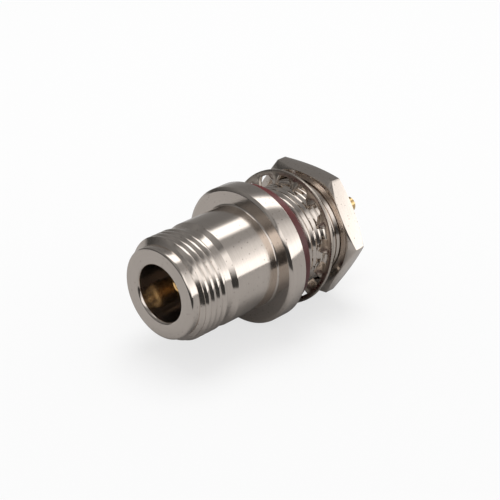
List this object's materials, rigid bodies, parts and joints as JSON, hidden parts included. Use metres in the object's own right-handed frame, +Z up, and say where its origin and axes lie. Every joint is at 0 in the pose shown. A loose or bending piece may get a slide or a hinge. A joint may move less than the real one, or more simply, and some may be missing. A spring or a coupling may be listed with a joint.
{
  "type": "n type bulkhead jack connector",
  "caption": "Female N coaxial panel connector: threaded flanged barrel, split socket contact, solder pot, panel gasket, internal-tooth lock washer and hexagon nut.",
  "frame": {"origin": "centre of the flange's panel side, on the connector's axis", "axes": "+Y along the connector's axis towards the solder end, so the mating face points to -Y; +Z up"},
  "size_m": [0.022, 0.0414, 0.0214],
  "materials": {
    "nickel_plate": "bright nickel plating, finely turned",
    "spring_plate": "nickel-plated spring sheet, duller than the body",
    "gilt": "gold plating",
    "ptfe": "turned white fluoropolymer",
    "silicone": "dark red silicone"
  },
  "bodies": {
    "jack": {"body_shell": "nickel_plate", "front_insulator": "ptfe", "rear_insulator": "ptfe", "centre_contact": "gilt", "retaining_ring": "nickel_plate", "panel_gasket": "silicone"},
    "washer": {"lock_washer": "spring_plate"},
    "nut": {"hex_nut": "nickel_plate"}
  },
  "joints": [
    {"name": "nut_travel", "type": "slide", "parent": "jack", "child": "washer", "axis": [0, 1, 0], "range_m": [-0.0018, 0.00265]},
    {"name": "nut_turn", "type": "hinge", "parent": "washer", "child": "nut", "pos_m": [0, 0.01165, 0], "axis": [0, 1, 0], "range_deg": [-610, 900]}
  ],
  "couplings": [
    {"joint": "nut_travel", "follows": "nut_turn", "m_per_rad": 0.00016844}
  ]
}
